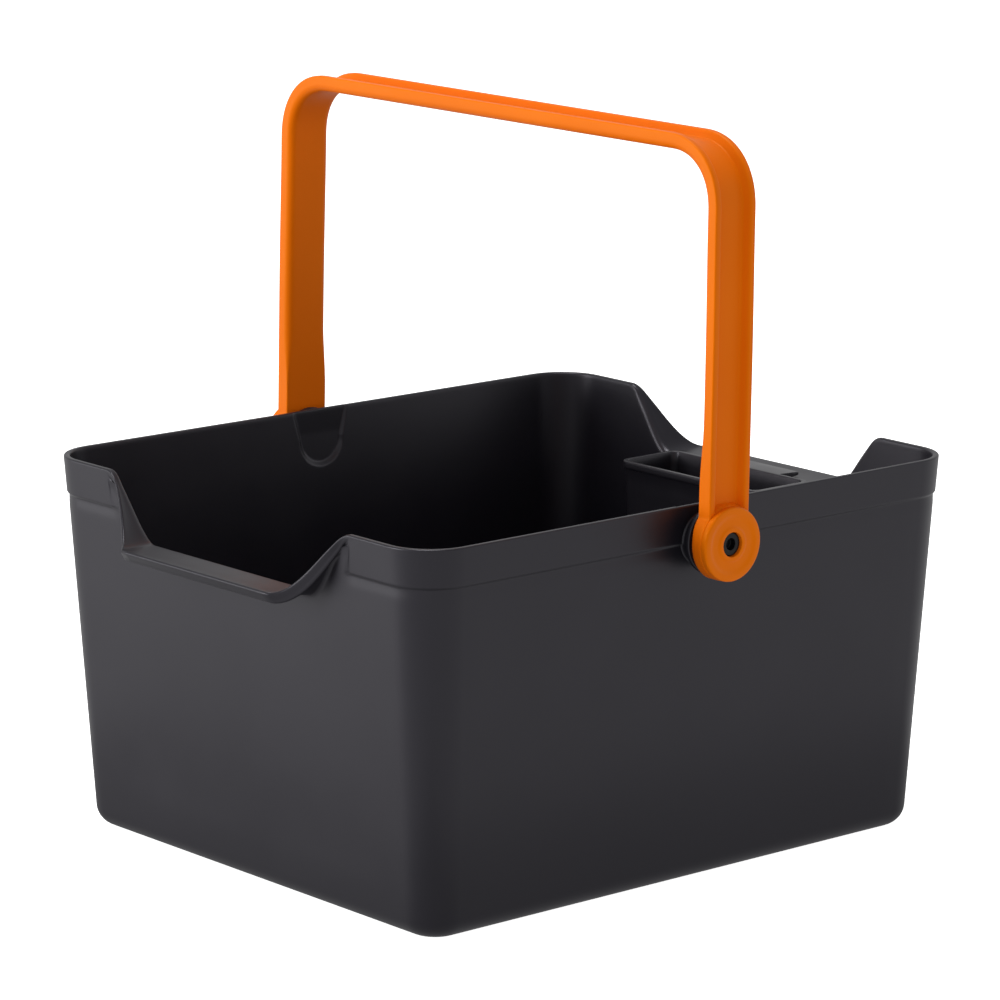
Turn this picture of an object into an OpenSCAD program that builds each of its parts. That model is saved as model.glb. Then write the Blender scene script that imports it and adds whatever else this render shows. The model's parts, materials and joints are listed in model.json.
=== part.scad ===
// Open storage caddy: a moulded tub, a bail handle that swings on two hub discs, and a parts tray
// that lifts out. Millimetres. X runs along the tub, Y runs along the handle's pivot axis and Z is up.
// The origin is the middle of the underside.

/* [Tub] */
// Height of the tub at its rim
tub_height = 200; // [190:1:210]
// Length of the walls, outside, carried up to the rim
top_length = 362.4; // [355:0.2:366]
// Width of the walls, outside, carried up to the rim
top_width = 308.8; // [302:0.2:312]
// Length of the walls, outside, carried down to the floor
base_length = 335.8; // [330:0.2:342]
// Width of the walls, outside, carried down to the floor
base_width = 286.8; // [280:0.2:292]
// Radius of the upright corners at the rim
top_corner_r = 26; // [22:0.5:30]
// Radius of the upright corners at the floor
base_corner_r = 18.5; // [15:0.5:22]
// Radius of the edge between the walls and the floor
floor_edge_r = 10.5; // [8:0.5:14]
// Thickness of the walls and the floor
wall = 2.5; // [2:0.1:3]
// Height of the stepped band under the rim
band_height = 21; // [18:0.5:24]
// How far the band stands out from the walls
band_step = 0.7; // [0.5:0.1:1]
// Depth of the shallow recess in the underside
foot_recess = 1; // [0.6:0.1:1.2]

/* [Hand cut-outs] */
// Half width of each cut-out where it leaves the rim
cut_half_top = 99; // [94:0.5:104]
// Half width of the level part of each cut-out, at the wall
cut_half_flat = 63; // [60:0.5:68]
// Half width of the level part of each lip, at its outer edge
lip_half_flat = 60; // [56:0.5:60]
// How far each cut-out drops below the rim
cut_depth = 34; // [30:0.5:38]
// How far the rolled lip stands out from the wall
lip_reach = 23.5; // [20:0.5:24]
// Rise of the lip from the wall to its outer edge
lip_rise = 1.5; // [0.5:0.1:2]
// Height of the turned-down edge of the lip
lip_skirt = 5; // [4:0.5:6]

/* [Handle] */
// Height of the handle's pivot axis
pivot_height = 182; // [180:0.5:184]
// Height of the top of the handle above the pivot axis
handle_rise = 202.2; // [198:0.1:204]
// Distance between the outer faces of the handle's legs
handle_span = 346; // [343:0.1:347]
// Width of the handle's channel section
grip_width = 27; // [24:0.5:30]
// Depth of the handle's channel section
grip_depth = 8.4; // [7.5:0.1:9]
// Outer radius of the bends between the legs and the grip
bend_r = 36; // [32:1:42]
// Thickness of the channel's web
web = 4.5; // [4:0.1:5]
// Thickness of the channel's two flanges
flange = 3; // [2.5:0.1:3.5]
// How far the handle leans towards +X as it stands
handle_lean = 1.1; // [0:0.1:2]

/* [Hubs] */
// Diameter of the round eye at the foot of each leg
eye_d = 38; // [36:0.5:40]
// Diameter of the hub disc's flange
disc_d = 38.4; // [36:0.2:40]
// Thickness of the hub disc's flange
disc_flange = 3.3; // [3:0.1:4]
// Diameter of the hub disc's sleeve, which fills the eye
sleeve_d = 22; // [20:0.5:24]
// Diameter of the pivot pin
pin_d = 12.3; // [11:0.1:13]
// Radial running clearance between pin and hub disc
pin_clearance = 0.08; // [0.05:0.01:0.1]
// Diameter of the hole down the pivot pin
pin_hole_d = 6; // [5:0.5:7]
// How far the pivot pin's end sits below the hub disc's face
pin_recess = 2.6; // [2:0.1:3.5]
// Diameter of the boss on the wall behind each hub
boss_d = 35; // [33:0.5:35.5]
// Half width of the shallow recess inside the wall behind each hub
recess_half = 19.5; // [18:0.5:20]
// Depth of that recess
recess_depth = 1.9; // [1.5:0.1:2.2]

/* [Parts tray] */
// Length of the tray across the tub
tray_length = 108; // [96:1:112]
// Width of the tray along the tub
tray_width = 42; // [36:1:46]
// Depth of the tray
tray_depth = 58; // [45:1:65]
// Height of the tray's rim above the floor
tray_rim_height = 170; // [169:0.5:170]
// Half length of the tab that hooks over the lip
hook_half = 29; // [24:1:34]

/* [Hidden] */
$fn = 96;
eps = 0.02;                                       // overlap where two solids are joined or cut
tub_grey = [0.20, 0.20, 0.215];
handle_orange = [0.90, 0.48, 0.05];
pin_black = [0.08, 0.08, 0.085];
tray_black = [0.11, 0.11, 0.12];

band_z = tub_height - band_height;
leg_y = handle_span / 2;                          // outer face of each leg
eye_back_y = leg_y - grip_depth;
boss_face_y = eye_back_y - 2;                     // outer face of the boss behind each hub
socket_depth = 1.5;
disc_face_y = leg_y + disc_flange;
slope_steps = 16;                                 // sections along each sloping end of a lip
tray_back_x = 172.6;                              // tray rim's side next to the tub's wall

// Half length and half width of the outside of the walls at a height
function half_x(z) = (base_length + (top_length - base_length) * z / tub_height) / 2;
function half_y(z) = (base_width + (top_width - base_width) * z / tub_height) / 2;
function corner(z) = base_corner_r + (top_corner_r - base_corner_r) * z / tub_height;

// Points on a cut-out's sloping edge, t = 0 at the rim and t = 1 where it turns level
function eased(t) = t * t * (3 - 2 * t);
function edge_y(t) = cut_half_top + (cut_half_flat - cut_half_top) * t;
function edge_z(t) = tub_height - cut_depth * eased(t);
function edge_normal(t) =
    let (dz = 6 * cut_depth * t * (1 - t), dy = cut_half_top - cut_half_flat) [-dz, dy] / norm([dz, dy]);
function lip_y(t) = cut_half_top + (lip_half_flat - cut_half_top) * t;
function lip_out(t) = band_step - 0.4 + (lip_reach - band_step + 0.4) * pow(t, 1.5);
function steps(from, to) = [for (i = [from : sign(to - from) : to]) i / slope_steps];

// Rounded rectangle of half sizes a and b at a height
module slab(a, b, r, z, thick = 0.01) {
    translate([0, 0, z]) linear_extrude(thick) offset(r, $fn = 32) square([2 * (a - r), 2 * (b - r)], center = true);
}

// The tub's outside form moved inwards by inset, from its floor up to z_top
module tub_form(inset, z_top) {
    edge_r = floor_edge_r - inset;
    hull() {
        for (a = [0 : 18 : 90]) {
            z = inset + edge_r * (1 - sin(a));
            pull = inset + edge_r * (1 - cos(a));
            slab(half_x(z) - pull, half_y(z) - pull, corner(z) - inset, z);
        }
        slab(half_x(z_top) - inset, half_y(z_top) - inset, corner(z_top) - inset, z_top - 0.01);
    }
}

// A ring-shaped band's form between two heights, moved inwards by inset
module band_form(inset, z_low, z_high) {
    hull() {
        slab(half_x(z_low) - inset, half_y(z_low) - inset, corner(z_low) - inset, z_low);
        slab(half_x(z_high) - inset, half_y(z_high) - inset, corner(z_high) - inset, z_high - 0.01);
    }
}

// Section of the +X lip: a shelf with a turned-down edge, square to the cut-out's edge.
// side is 1 on the +Y slope and -1 on the -Y slope.
function lip_section(t, side) =
    let (n = edge_normal(t),
         z = edge_z(t),
         x_in = half_x(z) - wall + 0.3,
         x_out = half_x(z) + lip_out(t),
         rise = lip_rise * t,
         drop = wall + (lip_skirt - wall) * min(1, 1.5 * t),
         x_mid = max(x_in + 0.4, x_out - wall))
    [for (p = [[x_in, edge_y(t), 0], [x_out, lip_y(t), rise], [x_out, lip_y(t), rise - drop],
               [x_mid, lip_y(t), rise - drop], [x_mid, lip_y(t), rise - wall], [x_in, edge_y(t), -wall]])
        [p[0], side * (p[1] + n[0] * p[2]), z + n[1] * p[2]]];

// Closed solid through a row of sections that all have the same number of points
module loft(sections) {
    n = len(sections[0]);
    last = (len(sections) - 1) * n;
    sides = [for (i = [0 : n : last - n], j = [0 : n - 1])
        let (a = i + j, b = i + (j + 1) % n) each [[a, b + n, b], [a, a + n, b + n]]];
    caps = [[for (j = [0 : n - 1]) j], [for (j = [n - 1 : -1 : 0]) last + j]];
    polyhedron([for (s = sections) each s], concat(sides, caps), convexity = 6);
}

// Rolled lip along the +X cut-out
module lip() {
    loft(concat([for (t = steps(2, slope_steps)) lip_section(t, -1)],
                [for (t = steps(slope_steps, 2)) lip_section(t, 1)]));
}

// Opening above the edge of both cut-outs
module cut_outs() {
    slope = [for (t = steps(0, slope_steps)) [edge_y(t), edge_z(t) - 1]];
    top = [cut_half_top, tub_height + 5];
    right = concat([top], slope);
    left = [for (i = [len(right) - 1 : -1 : 0]) [-right[i][0], right[i][1]]];
    rotate([90, 0, 90]) linear_extrude(top_length + 60, center = true) polygon(concat(right, left));
}

// U-shaped block that spans both long walls and is open at the top
module u_block(half, length) {
    centre_z = tub_height - 12.5;
    translate([0, 0, centre_z]) rotate([90, 0, 0]) cylinder(r = half, h = length, center = true);
    translate([-half, -length / 2, centre_z]) cube([2 * half, length, 20]);
}

// Cylinder on the near side's pivot axis, between two distances from the middle of the tub
module on_pivot(r, y_in, y_out) {
    translate([0, -y_in, pivot_height]) rotate([90, 0, 0]) cylinder(r = r, h = y_out - y_in);
}

module tub() {
    color(tub_grey) difference() {
        union() {
            difference() {
                union() {
                    tub_form(0, tub_height);
                    band_form(-band_step, band_z, tub_height);
                    for (side = [0, 180]) rotate([0, 0, side]) on_pivot(boss_d / 2, base_width / 2, boss_face_y);
                }
                tub_form(wall, tub_height + 1);
                band_form(wall - band_step, band_z + 2, tub_height + 1);
                intersection() {
                    tub_form(wall - recess_depth, tub_height + 1);
                    u_block(recess_half, top_width);
                }
                cut_outs();
            }
            lip();
            mirror([1, 0, 0]) lip();
        }
        for (side = [0, 180]) rotate([0, 0, side])
            on_pivot(pin_d / 2, boss_face_y - socket_depth, boss_face_y + 1);
        translate([0, 0, -1]) linear_extrude(1 + foot_recess)
            square([base_length - 66, base_width - 66], center = true);
    }
}

// The handle's channel section: web towards the tub at y = 0, flanges reaching out to +y
module channel() {
    difference() {
        square([grip_width, grip_depth]);
        translate([flange, web]) square([grip_width - 2 * flange, grip_depth]);
    }
}

// One leg with its bend and half of the grip, on the near side, with the pivot axis at the origin
module half_handle() {
    bend_z = handle_rise - bend_r;
    bend_y = leg_y - bend_r;
    translate([0, -bend_y, bend_z]) rotate([90, 0, -90]) rotate_extrude(angle = 90)
        translate([bend_r - grip_depth, grip_width / 2]) rotate(-90) channel();
    translate([-grip_width / 2, -leg_y + grip_depth, 0]) mirror([0, 1, 0]) linear_extrude(bend_z) channel();
    translate([-grip_width / 2, 0, handle_rise - grip_depth]) rotate([90, 0, 0])
        linear_extrude(bend_y) channel();
    rotate([90, 0, 0]) translate([0, 0, eye_back_y]) cylinder(d = eye_d, h = leg_y - eye_back_y);
}

module handle() {
    color(handle_orange) translate([0, 0, pivot_height]) rotate([0, handle_lean, 0]) difference() {
        for (side = [0, 180]) rotate([0, 0, side]) half_handle();
        rotate([90, 0, 0]) cylinder(d = sleeve_d, h = 2 * leg_y + 10, center = true);
    }
}

// Flanged disc on the near side whose sleeve fills the handle's eye and turns on the pin
module near_hub_disc() {
    color(handle_orange) difference() {
        union() {
            on_pivot(sleeve_d / 2, eye_back_y - 0.6, leg_y + eps);
            on_pivot(disc_d / 2 - 0.8, leg_y, disc_face_y);
            on_pivot(disc_d / 2, leg_y, disc_face_y - 0.8);
        }
        on_pivot(pin_d / 2 + pin_clearance, eye_back_y - 2, disc_face_y + 1);
        difference() {
            on_pivot(disc_d / 2 - 4.5, disc_face_y - 0.6, disc_face_y + 1);
            on_pivot(pin_d / 2 + 1.8, disc_face_y - 2, disc_face_y + 2);
        }
    }
}

module far_hub_disc() {
    rotate([0, 0, 180]) near_hub_disc();
}

// Hollow pin that stands in the socket of the near boss
module near_pivot_pin() {
    color(pin_black) difference() {
        union() {
            on_pivot(pin_d / 2, boss_face_y - socket_depth, disc_face_y - pin_recess - 0.8);
            on_pivot(pin_d / 2 - 0.6, disc_face_y - pin_recess - 1, disc_face_y - pin_recess);
        }
        on_pivot(pin_hole_d / 2, disc_face_y - pin_recess - 6, disc_face_y + 1);
    }
}

module far_pivot_pin() {
    rotate([0, 0, 180]) near_pivot_pin();
}

// The tray's form moved inwards by inset between two depths below its rim
module tray_form(inset, deep, rim_drop) {
    taper = 0.05;
    centre_x = tray_back_x - tray_width / 2;
    hull() for (d = [rim_drop, tray_depth - deep])
        translate([centre_x - d * 0.03, 0, 0])
            slab(tray_width / 2 - inset - taper * d, tray_length / 2 - inset - taper * d,
                 max(1, 8 - inset), tray_rim_height - d - 0.005);
}

module parts_tray() {
    hook_z = tray_rim_height - 1;
    color(tray_black) difference() {
        union() {
            tray_form(1.2, 0, 0.005);
            intersection() {
                tray_form(0, 0, 0.005);
                translate([0, -100, tray_rim_height - 4]) cube([250, 200, 4]);
            }
            translate([tray_back_x - 4, -hook_half, hook_z - 2]) cube([188 - tray_back_x + 4, 2 * hook_half, 2]);
        }
        tray_form(3.2, 2, -1);
    }
}

tub();
handle();
near_hub_disc();
far_hub_disc();
near_pivot_pin();
far_pivot_pin();
parts_tray();
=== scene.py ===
import json

import bmesh
import bpy
import numpy as np
from mathutils import Matrix, Vector


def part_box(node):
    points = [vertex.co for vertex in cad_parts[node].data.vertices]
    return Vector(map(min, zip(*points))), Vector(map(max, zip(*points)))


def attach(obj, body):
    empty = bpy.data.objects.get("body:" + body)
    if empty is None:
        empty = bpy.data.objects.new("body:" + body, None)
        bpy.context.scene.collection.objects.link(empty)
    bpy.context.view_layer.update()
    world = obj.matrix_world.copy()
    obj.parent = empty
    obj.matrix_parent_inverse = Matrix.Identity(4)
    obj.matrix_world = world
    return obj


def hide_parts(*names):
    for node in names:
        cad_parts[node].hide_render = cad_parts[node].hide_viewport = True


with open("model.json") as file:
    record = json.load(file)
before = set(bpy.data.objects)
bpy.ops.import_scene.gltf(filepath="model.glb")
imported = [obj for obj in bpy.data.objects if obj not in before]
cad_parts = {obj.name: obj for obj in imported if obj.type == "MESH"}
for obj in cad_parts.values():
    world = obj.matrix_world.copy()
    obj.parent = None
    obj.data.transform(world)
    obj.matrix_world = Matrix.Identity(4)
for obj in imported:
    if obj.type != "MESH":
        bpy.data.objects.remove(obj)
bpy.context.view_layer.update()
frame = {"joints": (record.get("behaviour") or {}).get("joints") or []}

mm = 0.001


def nodeBox(name):
    # A part's lowest and highest corner in millimetres
    low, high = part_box(name)
    return np.array(low) / mm, np.array(high) / mm


def smooth(x):
    # Eased step: 3x^2 - 2x^3 for x from 0 to 1, level outside
    x = np.clip(x, 0, 1)
    return x * x * (3 - 2 * x)


def arcPoints(centreA, centreB, radius, fromDegrees, toDegrees, count):
    # centre + radius * (cos, sin) for evenly spaced angles, one row for each angle
    angle = np.radians(np.linspace(fromDegrees, toDegrees, count))[:, None]
    return centreA + radius * np.cos(angle), centreB + radius * np.sin(angle)


def gridPiece(name, points, closedRows=False, sharpDegrees=None):
    # Skin over a grid of points in millimetres: each point joins its neighbours, the last column the first
    rows, columns = points.shape[:2]
    index = np.arange(rows * columns).reshape(rows, columns)
    index = np.concatenate([index, index[:, :1]], axis=1)
    if closedRows:
        index = np.concatenate([index, index[:1]], axis=0)
    faces = np.stack([index[:-1, :-1], index[:-1, 1:], index[1:, 1:], index[1:, :-1]], axis=-1)
    mesh = bpy.data.meshes.new(name)
    mesh.from_pydata((points.reshape(-1, 3) * mm).tolist(), [], faces.reshape(-1, 4).tolist())
    tidyMesh(mesh, sharpDegrees)
    piece = bpy.data.objects.new(name, mesh)
    bpy.context.scene.collection.objects.link(piece)
    return piece


def tidyMesh(mesh, sharpDegrees=None):
    # Closes seams and poles, turns the faces outwards and shades them smoothly
    work = bmesh.new()
    work.from_mesh(mesh)
    bmesh.ops.remove_doubles(work, verts=work.verts, dist=0.000002)
    bmesh.ops.dissolve_degenerate(work, dist=0.000001, edges=work.edges)
    bmesh.ops.recalc_face_normals(work, faces=work.faces)
    if work.calc_volume(signed=True) < 0:
        bmesh.ops.reverse_faces(work, faces=work.faces)
    work.to_mesh(mesh)
    work.free()
    mesh.shade_smooth()
    if sharpDegrees:
        mesh.set_sharp_from_angle(angle=np.radians(sharpDegrees))
    mesh.update()


def placePiece(piece, body, node, material):
    piece.data.materials.clear()
    piece.data.materials.append(material)
    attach(piece, body)
    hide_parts(node)
    print("built", piece.name, len(piece.data.polygons), "faces")


# Finishes

def mouldedPlastic(name, look):
    # Two tones drift slowly over the part, fine grain lifts the surface, handling changes the gloss a little
    material = bpy.data.materials.new(name)
    material.use_nodes = True
    nodes, links = material.node_tree.nodes, material.node_tree.links
    shader = nodes["Principled BSDF"]
    place = nodes.new("ShaderNodeTexCoord")

    drift = nodes.new("ShaderNodeTexNoise")
    drift.inputs["Scale"].default_value = look["driftScale"]
    drift.inputs["Detail"].default_value = 3
    tones = nodes.new("ShaderNodeValToRGB")
    tones.color_ramp.elements[0].position = 0.3
    tones.color_ramp.elements[0].color = (*look["colour"], 1)
    tones.color_ramp.elements[1].position = 0.7
    tones.color_ramp.elements[1].color = (*look["colourTwo"], 1)
    links.new(place.outputs["Object"], drift.inputs["Vector"])
    links.new(drift.outputs["Fac"], tones.inputs["Fac"])
    links.new(tones.outputs["Color"], shader.inputs["Base Color"])

    handling = nodes.new("ShaderNodeTexNoise")
    handling.inputs["Scale"].default_value = look["handlingScale"]
    handling.inputs["Detail"].default_value = 5
    gloss = nodes.new("ShaderNodeMapRange")
    gloss.inputs["From Min"].default_value = 0.3
    gloss.inputs["From Max"].default_value = 0.7
    gloss.inputs["To Min"].default_value = look["roughness"][0]
    gloss.inputs["To Max"].default_value = look["roughness"][1]
    links.new(place.outputs["Object"], handling.inputs["Vector"])
    links.new(handling.outputs["Fac"], gloss.inputs["Value"])
    links.new(gloss.outputs["Result"], shader.inputs["Roughness"])

    grain = nodes.new("ShaderNodeTexNoise")
    grain.inputs["Scale"].default_value = look["grainScale"]
    grain.inputs["Detail"].default_value = 2
    lift = nodes.new("ShaderNodeBump")
    lift.inputs["Strength"].default_value = look["grainStrength"]
    lift.inputs["Distance"].default_value = look["grainDepth"] * mm
    links.new(place.outputs["Object"], grain.inputs["Vector"])
    links.new(grain.outputs["Fac"], lift.inputs["Height"])
    links.new(lift.outputs["Normal"], shader.inputs["Normal"])

    shader.inputs["IOR"].default_value = look["ior"]
    shader.inputs["Specular IOR Level"].default_value = look["specular"]
    shader.inputs["Specular Tint"].default_value = (*look.get("tint", (1, 1, 1)), 1)
    shader.inputs["Subsurface Weight"].default_value = look.get("glowThrough", 0)
    shader.inputs["Subsurface Radius"].default_value = look.get("glowRadius", (1, 1, 1))
    shader.inputs["Subsurface Scale"].default_value = look.get("glowDepth", 1) * mm
    return material


charcoal = mouldedPlastic("charcoal_polypropylene", {
    "colour": (0.0068, 0.0062, 0.0095), "colourTwo": (0.0080, 0.0073, 0.0110), "driftScale": 9,
    "roughness": (0.34, 0.40), "handlingScale": 26,
    "grainScale": 2200, "grainStrength": 0.25, "grainDepth": 0.02,
    "ior": 1.49, "specular": 0.55, "tint": (0.94, 0.91, 1.0)})
orange = mouldedPlastic("orange_polypropylene", {
    "colour": (0.88, 0.160, 0.0010), "colourTwo": (0.92, 0.175, 0.0012), "driftScale": 14,
    "roughness": (0.40, 0.47), "handlingScale": 40,
    "grainScale": 2600, "grainStrength": 0.2, "grainDepth": 0.015,
    "ior": 1.49, "specular": 0.25, "tint": (1, 0.85, 0.10)})
hubOrange = mouldedPlastic("orange_acetal", {
    "colour": (0.88, 0.170, 0.0010), "colourTwo": (0.92, 0.185, 0.0012), "driftScale": 30,
    "roughness": (0.36, 0.42), "handlingScale": 60,
    "grainScale": 3000, "grainStrength": 0.15, "grainDepth": 0.01,
    "ior": 1.48, "specular": 0.25, "tint": (1, 0.85, 0.10)})
pinBlack = mouldedPlastic("black_acetal", {
    "colour": (0.004, 0.004, 0.005), "colourTwo": (0.006, 0.006, 0.007), "driftScale": 60,
    "roughness": (0.24, 0.30), "handlingScale": 90,
    "grainScale": 3000, "grainStrength": 0.1, "grainDepth": 0.01,
    "ior": 1.48, "specular": 0.3})
trayBlack = mouldedPlastic("black_polypropylene", {
    "colour": (0.0080, 0.0074, 0.0105), "colourTwo": (0.0095, 0.0088, 0.0120), "driftScale": 12,
    "roughness": (0.30, 0.37), "handlingScale": 34,
    "grainScale": 2400, "grainStrength": 0.2, "grainDepth": 0.015,
    "ior": 1.49, "specular": 0.55, "tint": (0.94, 0.91, 1.0)})
print("finishes made")


# Tub

tubHigh = nodeBox("tub")[1]
pivotZ = frame["joints"][0]["pos_m"][2] / mm
tubShape = {
    "rim": tubHigh[2],            # height of the rim
    "wall": 2.5,                  # thickness
    "halfLength": (167.9, 181.2), # walls at the floor and at the rim
    "halfWidth": (143.4, 154.4),
    "corner": (18.5, 26.0),
    "floorEdge": 10.5,
    "bandHeight": 20.4,           # stepped band under the rim
    "bandStep": 0.7,
    "bandEdge": 1.3,              # height over which the step rounds off
    "bandGrowth": 0.008,          # what the step gains for each millimetre up
    "groove": 0.35,               # shallow hollow just under the band
    "grooveHeight": 9.0,
    "footRecess": 1.0,            # shallow recess in the underside
    "footBorder": 33.0,
    "plainTop": 150.0,            # below this the walls are plain
    "cutTop": 99.0,               # half width of a hand cut-out at the rim
    "cutFlat": 63.0,
    "cutDepth": 34.0,
    "lipFlat": 60.0,
    "lipReach": tubHigh[0] - 179.1,
    "lipPower": 1.55,
    "lipRise": 1.5,
    "lipSkirt": 5.8,
    "lipThick": 2.3,
    "lipFillet": 1.6,             # hollow rounding under a lip, at the wall and at the skirt
    "lipCove": 1.0,
    "lipTuck": 2.0,               # how far the skirt draws in downwards
    "lipDish": 0.35,              # hollow along the top of a lip
    "edgeRound": 0.9,             # rounding of the rim, and what a lip adds outside and inside
    "edgeRoundLip": (0.5, 2.6),
    "edgeStart": 5.2,             # the edge's own section starts this far below it, and on a lip further
    "edgeStartLip": 2.8,
    "recessHalf": 19.3,           # shallow recess inside the wall behind each hub
    "recessRound": 183.8,         # height of the middle of its round end
    "recessDepth": (1.0, 1.7),    # at the rim and lower down
    "recessGrowth": 0.055,        # what the depth gains for each millimetre down
    "recessTaper": 0.25,          # how fast its sides draw together below the rim
    "recessSoft": 2.4,            # width over which its edges round off
    "bossRadius": 17.4,           # round flange on a neck behind each hub
    "bossNeck": 13.5,
    "bossFace": 162.6,
}


def tubStations(d):
    # Stations over a quarter of the outline, from the middle of an end to the middle of a long wall.
    # slope is 1 on the level of the cut-out and falls to 0 where its edge meets the rim.
    rimY = d["halfWidth"][1] - d["corner"][1]
    rimX = d["halfLength"][1] - d["corner"][1]
    level = np.linspace(0, d["cutFlat"], 13)
    slope = np.linspace(1, 0, 31)[1:]
    slopeY = d["cutTop"] + (d["cutFlat"] - d["cutTop"]) * slope
    shoulder = np.linspace(d["cutTop"], rimY, 9)[1:]
    turn = np.radians(np.linspace(0, 90, 15))[1:]
    # stations lie closer together where the recess has its sides
    longX = np.concatenate([np.linspace(rimX, 23, 12)[1:], np.linspace(23, 11, 22)[1:],
                            np.linspace(11, 0, 12)[1:]])
    endY = np.concatenate([level, slopeY, shoulder])
    slopes = np.concatenate([np.ones(len(level)), slope, np.zeros(len(shoulder) + len(turn) + len(longX))])
    angle = np.concatenate([np.zeros(len(endY)), turn, np.full(len(longX), np.pi / 2)])
    edgeZ = d["rim"] - d["cutDepth"] * smooth(slopes)
    across = np.ones(len(slopes))      # share of the way out to the corner's middle, along Y
    atEdge = np.interp(edgeZ[:len(endY)], [0, d["rim"]], [d["halfWidth"][0] - d["corner"][0], rimY])
    across[:len(endY)] = endY / atEdge
    along = np.ones(len(slopes))       # the same along X
    along[-len(longX):] = longX / rimX
    levelShare = np.ones(len(slopes))
    levelShare[:len(level)] = level / d["cutFlat"]
    fall = 6 * d["cutDepth"] * slopes * (1 - slopes)
    run = d["cutTop"] - d["cutFlat"]
    normalY = -fall / np.hypot(fall, run)
    normalZ = run / np.hypot(fall, run)
    return slopes, angle, along, across, levelShare, edgeZ, normalY, normalZ


def bandOffset(z, d):
    # Step out over the band, and a shallow hollow that fades downwards under it
    base = d["rim"] - d["bandHeight"]
    step = (d["bandStep"] + d["bandGrowth"] * (z - base)) * smooth((z - base) / d["bandEdge"])
    hollow = d["groove"] * smooth((z - base + d["grooveHeight"]) / d["grooveHeight"]) ** 2
    return step - hollow * (1 - smooth((z - base + 0.3) / d["bandEdge"]))


def recessPush(x, z, d):
    # How far the inner skin of a long wall is pressed in: eased step across a U outline, narrower lower down
    reach = np.hypot(x, np.minimum(z - d["recessRound"], 0))
    reach = reach + d["recessTaper"] * np.clip(d["rim"] - z, 0, d["rim"] - d["recessRound"])
    depth = np.minimum(d["recessDepth"][0] + d["recessGrowth"] * (d["rim"] - z), d["recessDepth"][1])
    return depth * smooth((d["recessHalf"] - reach) / d["recessSoft"])


def lipSection(d, slopes):
    # Section of the edge, square to it: distance out from the inner skin, and height above the edge.
    # Up the outer wall, out under the lip, round its turned-down skirt, back over the top and down inside.
    wall = d["wall"]
    out = d["lipReach"] * slopes ** d["lipPower"]
    gap = out - d["lipThick"] * (1 - np.exp(-out / d["lipThick"]))
    thick = out - gap
    skirt = wall + (d["lipSkirt"] - wall) * smooth(1.3 * slopes)
    under = -(skirt + (wall - skirt) * smooth(gap / 5))
    fillet = np.minimum(d["lipFillet"], gap / 2)
    cove = np.minimum(d["lipCove"], gap / 2)
    nose = thick / 2
    full = smooth(out / 4)          # 0 on the plain rim, 1 on a full lip
    topOuter = d["edgeRound"] + d["edgeRoundLip"][0] * full
    topInner = d["edgeRound"] + d["edgeRoundLip"][1] * full
    one = np.ones_like(slopes)
    start = d["edgeStart"] + d["edgeStartLip"] * smooth(5 * slopes)
    tuck = d["lipTuck"] * full
    parts = [
        (np.outer(np.ones(3), wall * one), np.linspace(-start, under - fillet, 4)[:3]),
        arcPoints(wall + fillet, under - fillet, fillet, 180, 90, 5),
        (np.linspace(wall + fillet, wall + gap - cove - tuck, 6)[1:-1], np.outer(np.ones(4), under)),
        arcPoints(wall + gap - cove - tuck, under - cove, cove, 90, 0, 4),
        arcPoints(wall + gap + nose - tuck, -skirt + nose, nose, 180, 360, 9),
        (np.linspace(wall + out - tuck, wall + out, 5)[1:-1], np.linspace(-skirt + nose, -topOuter, 5)[1:-1]),
    ]
    o = np.concatenate([p[0] for p in parts])
    h = np.concatenate([p[1] for p in parts])
    # on the plain rim these points spread evenly up the wall
    even = np.linspace(-start, -topOuter, len(h) + 1)[:-1]
    h = even + (h - even) * smooth(out / 3)
    parts = [
        (o, h),
        arcPoints(wall + out - topOuter, -topOuter, topOuter, 0, 90, 7),
        (np.linspace(wall + out - topOuter, topInner, 9)[1:-1], np.outer(np.ones(7), 0 * one)),
        arcPoints(topInner, -topInner, topInner, 90, 180, 7),
        (np.outer(np.ones(3), 0 * one), np.linspace(-topInner, -start, 4)[1:]),
    ]
    o = np.concatenate([p[0] for p in parts])
    h = np.concatenate([p[1] for p in parts])
    beyond = np.clip((o - wall) / np.maximum(out, 0.001), 0, 1) * smooth(out)
    dish = d["lipDish"] * np.sin(np.pi * beyond) * full
    return o, h + d["lipRise"] * slopes * beyond - dish * (h > -0.5), beyond, start


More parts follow.
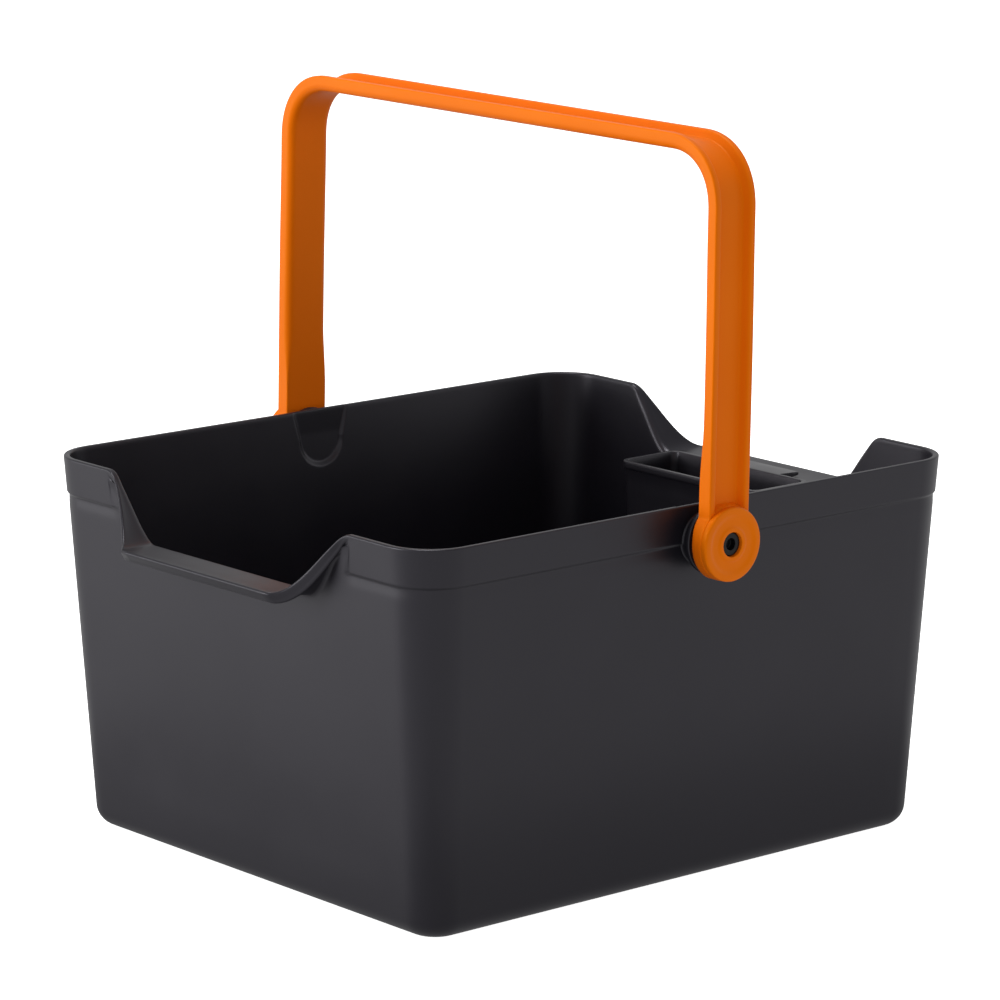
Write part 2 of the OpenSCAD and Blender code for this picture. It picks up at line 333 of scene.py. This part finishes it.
def tubGrid(d):
    # Rounded rectangle that grows with height, carried up the outside, over the edge and down the inside
    slopes, angle, along, across, levelShare, edgeZ, normalY, normalZ = tubStations(d)
    longWall = np.isclose(angle, np.pi / 2)
    wall, rim = d["wall"], d["rim"]

    def between(pair, z):
        return pair[0] + (pair[1] - pair[0]) * z / rim

    def skin(z, o, side, beyond=0.0):
        # Corner's middle + (corner radius - depth inside the outer wall) * direction, then the sideways shift
        z, o, side, beyond = np.broadcast_arrays(z, o, side, beyond)
        corner = between(d["corner"], z)
        outwards = np.clip(o / wall, 0, 1)      # 0 on the inner skin, 1 on the outer one
        radius = corner - (wall - o) + bandOffset(z, d) * outwards * (1 - smooth(3 * slopes))
        x = along * (between(d["halfLength"], z) - corner) + radius * np.cos(angle)
        y = across * (between(d["halfWidth"], z) - corner) + radius * np.sin(angle) + side
        y = y - (d["cutFlat"] - d["lipFlat"]) * slopes * levelShare * beyond
        push = recessPush(x, z, d) * (1 - outwards)
        return np.stack([x, y + np.where(longWall, push, 0), z], axis=-1)

    edge, innerEdge = d["floorEdge"], d["floorEdge"] - wall
    lowZ, highZ = d["plainTop"], rim - d["edgeStart"] - d["edgeStartLip"]
    one = np.ones_like(slopes)
    rows = []

    footRing = skin(0.0 * one, (wall - edge) * one, 0.0)[None]
    shareX = (d["halfLength"][0] - d["footBorder"]) / (d["halfLength"][0] - edge)
    shareY = (d["halfWidth"][0] - d["footBorder"]) / (d["halfWidth"][0] - edge)
    for inwards, z in ((1.0, d["footRecess"]), (0.012, d["footRecess"]), (0.008, 0.9 * d["footRecess"]),
                       (0.003, 0.1 * d["footRecess"]), (0.0, 0.0)):
        ring = footRing.copy()
        ring[..., 0] *= shareX * (1 - inwards)
        ring[..., 1] *= shareY * (1 - inwards)
        ring[..., 2] = z
        rows.append(ring)

    turn = np.radians(np.linspace(90, 0, 10))[:, None]
    rows.append(skin(edge * (1 - np.sin(turn)) * one, wall - edge * (1 - np.cos(turn)) * one, 0.0))
    rows.append(skin(np.linspace(edge, lowZ, 9)[1:, None] * one, wall * one, 0.0))

    o, h, beyond, start = lipSection(d, slopes)
    # rows lie closer together where the recess ends and the band begins
    fineZ = np.concatenate([np.linspace(lowZ, 165, 6)[1:], np.linspace(165, 177, 17)[1:],
                            np.linspace(177, 183, 13)[1:], np.linspace(183, highZ, 7)[1:-1]])
    share = ((fineZ - lowZ) / (highZ - lowZ))[:, None]
    topZ = edgeZ - normalZ * start
    rows.append(skin(lowZ + share * (topZ - lowZ), wall * one, -normalY * start * share ** 2))
    rows.append(skin(edgeZ + normalZ * h, o, normalY * h, beyond))
    share = share[::-1]
    rows.append(skin(lowZ + share * (topZ - lowZ), 0.0 * one, -normalY * start * share ** 2))
    rows.append(skin(np.linspace(lowZ, wall + innerEdge, 9)[:, None] * one, 0.0 * one, 0.0))
    turn = np.radians(np.linspace(0, 90, 9))[1:, None]
    rows.append(skin(wall + innerEdge * (1 - np.sin(turn)) * one, -innerEdge * (1 - np.cos(turn)) * one, 0.0))
    for share in (0.98, 0.0):       # a ring close to the rounding keeps the floor's shading flat
        ring = rows[-1][-1:].copy()
        ring[..., :2] *= share
        rows.append(ring)
    return np.concatenate(rows)


def fourQuarters(quarter):
    # The quarter outline and its mirror images in X and Y, in order round the piece, shared columns left out
    back = quarter[:, ::-1]
    return np.concatenate([quarter, back[:, 1:] * (-1, 1, 1), quarter[:, 1:] * (-1, -1, 1),
                           back[:, 1:-1] * (1, -1, 1)], axis=1)


def bossGrid(d, side):
    # A flange on a neck, turned about the pivot axis: the neck's root flares and follows the sloping wall
    angle = np.linspace(0, 2 * np.pi, 96, endpoint=False)
    neck, flange = d["bossNeck"], d["bossRadius"]
    radius = np.array([0, neck + 1.2, neck + 0.5, neck + 0.1, neck, neck, neck + 0.4, flange - 0.5,
                       flange - 0.15, flange, flange, flange - 0.2, flange - 0.7, 0])[:, None]
    z = pivotZ + radius * np.sin(angle)
    wallY = d["halfWidth"][0] + (d["halfWidth"][1] - d["halfWidth"][0]) * z / d["rim"] + bandOffset(z, d)
    root = np.array([-0.3, -0.3, 0.1, 0.5, 1.3])[:, None] + wallY[:5]
    face = d["bossFace"] - np.array([3.0, 2.6, 2.6, 2.45, 2.1, 0.6, 0.2, 0, 0])[:, None] + 0 * z[5:]
    y = side * np.concatenate([root, face])
    return np.stack([radius * np.cos(angle) + 0 * z, y, z], axis=-1)


def joinPieces(piece, others):
    # Adds the other pieces' closed skins to the first one
    work = bmesh.new()
    for part in (piece, *others):
        work.from_mesh(part.data)
    work.to_mesh(piece.data)
    work.free()
    for part in others:
        bpy.data.objects.remove(part)
    piece.data.shade_smooth()


tub = gridPiece("moulded_tub", fourQuarters(tubGrid(tubShape)))
joinPieces(tub, [gridPiece("boss", bossGrid(tubShape, side)) for side in (-1, 1)])
placePiece(tub, "tub_body", "tub", charcoal)


# Handle

handleHigh = nodeBox("handle")[1]
handleShape = {
    "legOut": handleHigh[1],      # outer face of each leg
    "rise": 202.2,                # top above the pivot
    "depth": 8.4,
    "halfWidth": 13.42,
    "bend": 36.0,                 # outer radius of the bends
    "bendPower": 2.15,            # 2 is a circle
    "bow": 0.9,                   # how far the legs draw in at the bends
    "web": 4.5,
    "lip": 3.0,
    "troughEase": 3.2,            # width over which the channel's wall rises
    "webRound": (0.8, 4.0),       # rounding of the two edges towards the hand, low down and higher up
    "webRoundFrom": 28.0,         # heights above the pivot between which it grows
    "webRoundTo": 62.0,
    "footRound": 2.8,             # extra rounding round the foot
    "footRoundTop": 14.0,
    "lipRound": 0.9,
    "eye": 19.0,                  # radius of the round foot
    "eyeBore": 11.0,
    "eyeEase": 1.4,               # width over which its flat face drops to the trough
    "neck": 6.0,                  # height above the eye over which the leg runs straight on
    "neckEase": 0.4,
    "lean": 1.1,                  # degrees towards +X
}


def handlePath(d):
    # Outer line of half the handle, from the bottom of the foot to the middle of the grip.
    # Each row holds y, z, the outward direction along y and z, and the height above the pivot.
    eye, bend = d["eye"], d["bend"]
    foot = -eye * np.cos(np.radians(np.linspace(0, 90, 20)))
    neck = np.linspace(0, eye + d["neck"], 36)[1:]
    leg = np.linspace(eye + d["neck"], d["rise"] - bend, 26)[1:]
    s = np.concatenate([foot, neck, leg])
    drawn = d["bow"] * smooth(s / (d["rise"] - bend)) ** 4
    legLine = np.stack([-d["legOut"] + drawn, s, -np.ones_like(s), 0 * s, s], axis=-1)
    turn = np.radians(np.linspace(0, 90, 26))[1:]
    power = 2 / d["bendPower"]
    y = -(d["legOut"] - d["bow"] - bend) - bend * np.cos(turn) ** power
    z = d["rise"] - bend + bend * np.sin(turn) ** power
    normal = np.stack([-np.cos(turn) ** (2 - power), np.sin(turn) ** (2 - power)], axis=-1)
    normal /= np.linalg.norm(normal, axis=-1, keepdims=True)
    bendLine = np.stack([y, z, normal[:, 0], normal[:, 1], z], axis=-1)
    y = np.linspace(y[-1], 0, 10)[1:]
    gripLine = np.stack([y, d["rise"] + 0 * y, 0 * y, 1 + 0 * y, d["rise"] + 0 * y], axis=-1)
    return np.concatenate([legLine, bendLine, gripLine])


def handleGrid(d):
    # A channel section carried along the path: rounded towards the hand, with an eased trough on the outside
    path = handlePath(d)
    s = path[:, 4]
    circle = np.sqrt(np.clip(d["eye"] ** 2 - s ** 2, 0, None))
    # the foot's circle runs into the leg: the larger of the two, eased by a hyperbola
    soft = d["neckEase"] * smooth(s / 10)
    blend = 0.5 * (circle + d["halfWidth"] + np.sqrt((circle - d["halfWidth"]) ** 2 + soft ** 2))
    half = np.where(s < 0, circle, np.where(s < d["eye"] + d["neck"], blend, d["halfWidth"]))[None]
    size = np.minimum(1, half / d["halfWidth"])
    grown = smooth((s - d["webRoundFrom"]) / (d["webRoundTo"] - d["webRoundFrom"]))
    webRound = d["webRound"][0] + (d["webRound"][1] - d["webRound"][0]) * grown
    webRound = (webRound + d["footRound"] * smooth((d["footRoundTop"] - s) / d["footRoundTop"])) * size
    lipRound = d["lipRound"] * size
    depth = d["depth"]
    one = np.ones_like(half)

    webX = np.linspace(0 * one, half - webRound, 7)[:, 0]
    roundX, roundD = arcPoints(half - webRound, webRound, webRound, -90, 0, 8)
    sideD = np.linspace(webRound, depth - lipRound, 4)[1:-1, 0]
    lipX, lipD = arcPoints(half - lipRound, depth - lipRound, lipRound, 0, 90, 6)
    innerLip = half - d["lip"] * size
    crestX = np.linspace(half - lipRound, innerLip, 3)[1:, 0]
    wallX = np.linspace(innerLip, innerLip - d["troughEase"] * size, 10)[1:, 0]
    floorX = np.linspace(innerLip - d["troughEase"] * size, 0 * one, 7)[1:, 0]
    troughX = np.concatenate([crestX, wallX, floorX])
    onWall = smooth((troughX - (innerLip - d["troughEase"] * size)) / (d["troughEase"] * size + 0.001))
    onEye = 1 - smooth((np.hypot(troughX, s) - d["eye"]) / d["eyeEase"])
    troughD = d["web"] + (depth - d["web"]) * np.maximum(onWall, onEye)

    x = np.concatenate([webX, roundX, half * np.ones_like(sideD), lipX, troughX])
    deep = np.concatenate([0 * webX, roundD, sideD, lipD, troughD])
    # the other half of the section is the mirror image
    x = np.concatenate([x, -x[-2:0:-1]])
    deep = np.concatenate([deep, deep[-2:0:-1]])
    y = path[:, 0] + (deep - depth) * path[:, 2]
    z = path[:, 1] + (deep - depth) * path[:, 3]
    near = np.stack([x, y, z], axis=-1).transpose(1, 0, 2)
    far = near[::-1][1:] * (1, -1, 1)
    grid = np.concatenate([near, far])
    lean = np.radians(d["lean"])
    turned = grid.copy()
    turned[..., 0] = grid[..., 0] * np.cos(lean) + grid[..., 2] * np.sin(lean)
    turned[..., 2] = -grid[..., 0] * np.sin(lean) + grid[..., 2] * np.cos(lean) + pivotZ
    return turned


def boreThrough(piece, radius, z, reach):
    # Cuts a round bore along Y through both feet
    angle = np.linspace(0, 2 * np.pi, 96, endpoint=False)
    ends = np.array([-reach, -reach, reach, reach])[:, None]
    radii = np.array([0, radius, radius, 0])[:, None]
    points = np.stack([radii * np.cos(angle), ends + 0 * angle, z + radii * np.sin(angle)], axis=-1)
    cutter = gridPiece("cutter", points)
    cut = piece.modifiers.new("bore", "BOOLEAN")
    cut.operation = "DIFFERENCE"
    cut.solver = "EXACT"
    cut.object = cutter
    bpy.context.view_layer.update()
    done = bpy.data.meshes.new_from_object(piece.evaluated_get(bpy.context.evaluated_depsgraph_get()))
    piece.modifiers.clear()
    piece.data = done
    bpy.data.objects.remove(cutter)
    tidyMesh(piece.data, 40)


handle = gridPiece("bail_handle", handleGrid(handleShape))
boreThrough(handle, handleShape["eyeBore"], pivotZ, 200)
handle.data.name = "bail_handle"
placePiece(handle, "handle_body", "handle", orange)


# Hub discs and pivot pins

discLow, discHigh = nodeBox("far_hub_disc")
pinLow, pinHigh = nodeBox("far_pivot_pin")
hubShape = {
    "face": discHigh[1],          # outermost plane, from the middle of the tub
    "back": discLow[1],
    "seat": handleHigh[1],        # plane of the handle's foot
    "radius": (discHigh[0] - discLow[0]) / 2 - 0.3,
    "sleeve": 10.98,
    "bore": 6.23,
    "edgeRound": 1.3,
    "rimBand": (3.4, 5.6),        # flat band round the face, out to where the dish begins and is full
    "dish": 0.7,
    "collar": (2.0, 3.2),         # raised ring round the bore, at its top and at its foot
    "collarBelow": 0.1,
}
pinShape = {
    "face": pinHigh[1] + 0.9,
    "back": pinLow[1],
    "radius": (pinHigh[0] - pinLow[0]) / 2,
    "hole": 3.0,
    "holeDepth": 3.4,
}


def turnedPiece(name, profile, side):
    # A closed profile of (radius, distance from the tub's middle) pairs, turned about the pivot axis
    angle = np.linspace(0, 2 * np.pi, 96, endpoint=False)
    radius, y = np.array(profile).T[:, :, None]
    x, z = radius * np.cos(angle), pivotZ + radius * np.sin(angle)
    points = np.stack([x, side * y + 0 * angle, z], axis=-1)
    return gridPiece(name, points, closedRows=True, sharpDegrees=50)


def rounded(corners, steps=6):
    # Closed outline through (a, b, radius) corners, each one rounded by a curve with shares
    # (1-t)^2, 2t(1-t) and t^2 of the point before it, the corner and the point after it
    points = []
    for i, (a, b, radius) in enumerate(corners):
        here = np.array([a, b])
        before = np.array(corners[i - 1][:2]) - here
        after = np.array(corners[(i + 1) % len(corners)][:2]) - here
        start = here + before / np.linalg.norm(before) * radius
        end = here + after / np.linalg.norm(after) * radius
        for share in np.linspace(0, 1, steps if radius > 0 else 1):
            points.append((1 - share) ** 2 * start + 2 * share * (1 - share) * here + share ** 2 * end)
    return points


def hubProfile(d):
    # Sleeve, flange with a rounded rim, a shallow dish in its face and a collar round the bore
    face, outer, bore = d["face"], d["radius"], d["bore"]
    dish, collar = face - d["dish"], face - d["collarBelow"]
    return rounded([
        (bore, d["back"], 0.3), (d["sleeve"], d["back"], 0.3), (d["sleeve"], d["seat"], 0),
        (outer, d["seat"], 0.3), (outer, face, d["edgeRound"]),
        (outer - d["rimBand"][0], face, 0.8), (outer - d["rimBand"][1], dish, 1.0),
        (bore + d["collar"][1], dish, 0.8), (bore + d["collar"][0], collar, 0.5), (bore, collar, 0.6)])


def pinProfile(d):
    # Plain shank with a rounded end and a blind hole, closed at the axis
    return rounded([
        (0, d["back"], 0), (d["radius"], d["back"], 0.2), (d["radius"], d["face"], 0.9),
        (d["hole"], d["face"], 0.5), (d["hole"], d["face"] - d["holeDepth"], 0.4),
        (0, d["face"] - d["holeDepth"], 0)])


for side, end in ((-1, "near"), (1, "far")):
    disc = turnedPiece(end + "_flanged_disc", hubProfile(hubShape), side)
    placePiece(disc, "handle_body", end + "_hub_disc", hubOrange)
    pin = turnedPiece(end + "_hollow_pin", pinProfile(pinShape), side)
    placePiece(pin, "tub_body", end + "_pivot_pin", pinBlack)


# Parts tray

trayLow, trayHigh = nodeBox("parts_tray")
wallSide = 172.6                  # rim's side next to the tub's wall
trayShape = {
    "rim": trayHigh[2],
    "floor": trayLow[2],
    "wallSide": wallSide,
    "halfWidth": (wallSide - trayLow[0]) / 2,
    "halfLength": trayHigh[1],
    "corner": 6.5,
    "flange": 1.2,                # rim stands out from the walls
    "flangeHeight": 4.0,
    "wall": 1.5,
    "floorThick": 2.0,
    "floorRound": 2.2,            # outside and inside roundings at the floor
    "insideRound": 3.0,
    "draft": 0.05,
    "lean": 0.03,                 # follows the slope of the tub's wall
    "tabReach": trayHigh[0] - wallSide,
    "tabHalf": 29.0,
    "tabTop": 169.0,
    "tabUnder": 167.15,
}


def trayGrid(d):
    # Rounded rectangle carried from the underside up the outside, over the rim and down the inside.
    # The rim's side next to the tub's wall reaches out over the lip as a tab.
    half, rim = d["halfWidth"], d["rim"]
    corner = d["corner"]
    sideY = np.concatenate([np.linspace(0, d["tabHalf"] - 2, 8)[:-1],
                            np.linspace(d["tabHalf"] - 2, d["tabHalf"] + 1.5, 12)[:-1],
                            np.linspace(d["tabHalf"] + 1.5, d["halfLength"] - corner, 6)])
    turn = np.radians(np.linspace(0, 90, 13))[1:]
    endX = np.linspace(half - corner, 0, 5)[1:]
    alongX = np.concatenate([np.ones(len(sideY) + len(turn)), endX / (half - corner)])
    alongY = np.concatenate([sideY / (d["halfLength"] - corner), np.ones(len(turn) + len(endX))])
    angle = np.concatenate([0 * sideY, turn, np.full(len(endX), np.pi / 2)])

    def ring(inset, z, out=0.0, scale=1.0):
        # Straight part + (corner radius - inset) * direction, narrowing with depth
        drop = np.clip(rim - z, 0, None)
        narrow = d["draft"] * np.maximum(drop - d["flangeHeight"], 0)
        x = alongX * (half - corner - narrow) + (corner - inset) * np.cos(angle)
        y = alongY * (d["halfLength"] - corner - narrow) + (corner - inset) * np.sin(angle)
        quarter = np.stack([x * scale, y * scale, z + 0 * x], axis=-1)[None]
        full = fourQuarters(quarter)[0]
        tab = smooth((d["tabHalf"] + 0.6 - np.abs(full[:, 1])) / 1.2) * (full[:, 0] > half - inset - 0.5)
        full[:, 0] += out * tab * d["tabReach"]
        full[:, 2] = np.where(out * tab > 0, full[:, 2] + out * tab * (ringTab(z) - z), full[:, 2])
        full[:, 0] += d["wallSide"] - half - d["lean"] * drop
        return full

    def ringTab(z):
        # On the tab, the rim's height is squeezed between its underside and its top
        share = (z - (rim - d["flangeHeight"])) / d["flangeHeight"]
        return d["tabUnder"] + share * (d["tabTop"] - d["tabUnder"])

    low = rim - d["flangeHeight"]
    inner = d["flange"] + d["wall"]
    outRound, inRound, floorTop = d["floorRound"], d["insideRound"], d["floor"] + d["floorThick"]
    rows = [ring(d["flange"] + outRound, d["floor"], scale=scale) for scale in (0.0, 0.96, 1.0)]
    rows += [ring(d["flange"] + outRound * (1 - np.sin(a)), d["floor"] + outRound * (1 - np.cos(a)))
             for a in np.radians((22, 45, 67, 90))]
    rows += [ring(d["flange"], z) for z in np.linspace(d["floor"] + outRound, low - 0.6, 8)[1:]]
    rows += [ring(d["flange"] - 0.15, low - 0.15), ring(d["flange"] - 0.5, low, 0.02)]
    rows += [ring(0.5, low, 0.5), ring(0.45, low, 0.97), ring(0.13, low + 0.13, 0.99), ring(0, low + 0.5, 1)]
    rows += [ring(0, low + 1.6, 1), ring(0, rim - 1.6, 1), ring(0, rim - 0.4, 1)]
    rows += [ring(0.12, rim - 0.12, 0.99), ring(0.4, rim, 0.97), ring(0.7, rim, 0.6)]
    rows += [ring(1.0, rim, 0.2), ring(1.2, rim, 0.0)]
    rows += [ring(inner - 0.5, rim), ring(inner - 0.15, rim - 0.15), ring(inner, rim - 0.5)]
    rows += [ring(inner, z) for z in np.linspace(rim - 0.5, floorTop + inRound, 9)[1:]]
    rows += [ring(inner + inRound * (1 - np.cos(a)), floorTop + inRound * (1 - np.sin(a)))
             for a in np.radians((22, 45, 67, 90))]
    rows += [ring(inner + inRound, floorTop, scale=scale) for scale in (0.94, 0.0)]
    return np.stack(rows)


tray = gridPiece("lift_out_tray", trayGrid(trayShape), sharpDegrees=60)
placePiece(tray, "tray_body", "parts_tray", trayBlack)


# Camera, floor and lights

cameraPlan = {
    "azimuth": -40.601,           # degrees round the caddy
    "elevation": 12.433,
    "distance": 2.54813,          # metres
    "target": (-0.00118, 0.0, 0.17508),
    "roll": 0.0028786,            # radians
    "lens": 175.60,               # millimetres on a sensor 36 mm wide
}


def addCamera(plan):
    # The camera looks along -back at the target, from distance * back away
    azimuth, elevation = np.radians(plan["azimuth"]), np.radians(plan["elevation"])
    level = np.cos(elevation)
    back = Vector((np.sin(azimuth) * level, -np.cos(azimuth) * level, np.sin(elevation)))
    right = Vector((0, 0, 1)).cross(back).normalized()
    up = back.cross(right)
    lens = bpy.data.cameras.new("camera")
    lens.lens = plan["lens"]
    lens.sensor_width = 36
    lens.clip_end = 100
    camera = bpy.data.objects.new("camera", lens)
    turn = Matrix((right, up, back)).transposed() @ Matrix.Rotation(plan["roll"], 3, "Z")
    camera.matrix_world = Matrix.Translation(Vector(plan["target"]) + back * plan["distance"]) @ turn.to_4x4()
    bpy.context.scene.collection.objects.link(camera)
    bpy.context.scene.camera = camera


def addSoftbox(name, place, target, size, power, colour=(1, 1, 1)):
    light = bpy.data.lights.new(name, "AREA")
    light.shape = "RECTANGLE"
    light.size, light.size_y = size
    light.energy = power
    light.color = colour
    lamp = bpy.data.objects.new(name, light)
    lamp.location = place
    lamp.rotation_euler = (Vector(target) - Vector(place)).to_track_quat("-Z", "Y").to_euler()
    bpy.context.scene.collection.objects.link(lamp)


def addGround(name, halfX, halfY, z, shade, glow):
    # Flat level rectangle that throws no shadow
    mesh = bpy.data.meshes.new(name)
    corners = [(-halfX, -halfY, z), (halfX, -halfY, z), (halfX, halfY, z), (-halfX, halfY, z)]
    mesh.from_pydata(corners, [], [(0, 1, 2, 3)])
    ground = bpy.data.objects.new(name, mesh)
    bpy.context.scene.collection.objects.link(ground)
    material = bpy.data.materials.new(name + "_paper")
    material.use_nodes = True
    shader = material.node_tree.nodes["Principled BSDF"]
    shader.inputs["Base Color"].default_value = (shade, shade, shade, 1)
    shader.inputs["Roughness"].default_value = 0.9
    shader.inputs["Specular IOR Level"].default_value = 0.1
    shader.inputs["Emission Color"].default_value = (1, 1, 1, 1)
    shader.inputs["Emission Strength"].default_value = glow
    mesh.materials.append(material)
    ground.visible_shadow = False
    return ground


addCamera(cameraPlan)

floor = addGround("floor", 9, 9, -0.0003, 0.92, 1.0)
floor.visible_diffuse = False
floor.visible_glossy = False
# a dark, faintly glowing card under the tub, unseen by the camera, is painted floor shadow: it dims what the
# walls mirror near the ground
paintedShadowCard = addGround("painted_floor_shadow_card", 0.30, 0.27, -0.0006, 0.05, 0.32)
paintedShadowCard.visible_camera = False

world = bpy.data.worlds.new("studio")
world.use_nodes = True
sky = world.node_tree.nodes
skyPlace = sky.new("ShaderNodeTexCoord")
skyHeight = sky.new("ShaderNodeSeparateXYZ")
skyFade = sky.new("ShaderNodeMapRange")           # bright round the horizon and below, dimmer overhead
skyFade.inputs["From Min"].default_value = 0.35
skyFade.inputs["From Max"].default_value = 0.80
skyFade.inputs["To Min"].default_value = 0.66
skyFade.inputs["To Max"].default_value = 0.26
world.node_tree.links.new(skyPlace.outputs["Generated"], skyHeight.inputs["Vector"])
world.node_tree.links.new(skyHeight.outputs["Z"], skyFade.inputs["Value"])
world.node_tree.links.new(skyFade.outputs["Result"], sky["Background"].inputs["Strength"])
sky["Background"].inputs["Color"].default_value = (1, 1, 1, 1)
bpy.context.scene.world = world

middle = (0, 0, 0.15)
addSoftbox("left_softbox", (-2.5, 1.1, 0.8), middle, (1.2, 1.4), 36)
addSoftbox("back_left_softbox", (-2.2, 2.0, 0.1), middle, (1.8, 1.0), 12)
addSoftbox("right_softbox", (2.2, -1.6, 0.8), middle, (0.8, 1.4), 2)
addSoftbox("top_softbox", (0.0, 0.4, 2.8), middle, (1.2, 1.0), 36)
bpy.context.scene.view_settings.view_transform = "Standard"
print("camera, floor and lights set")
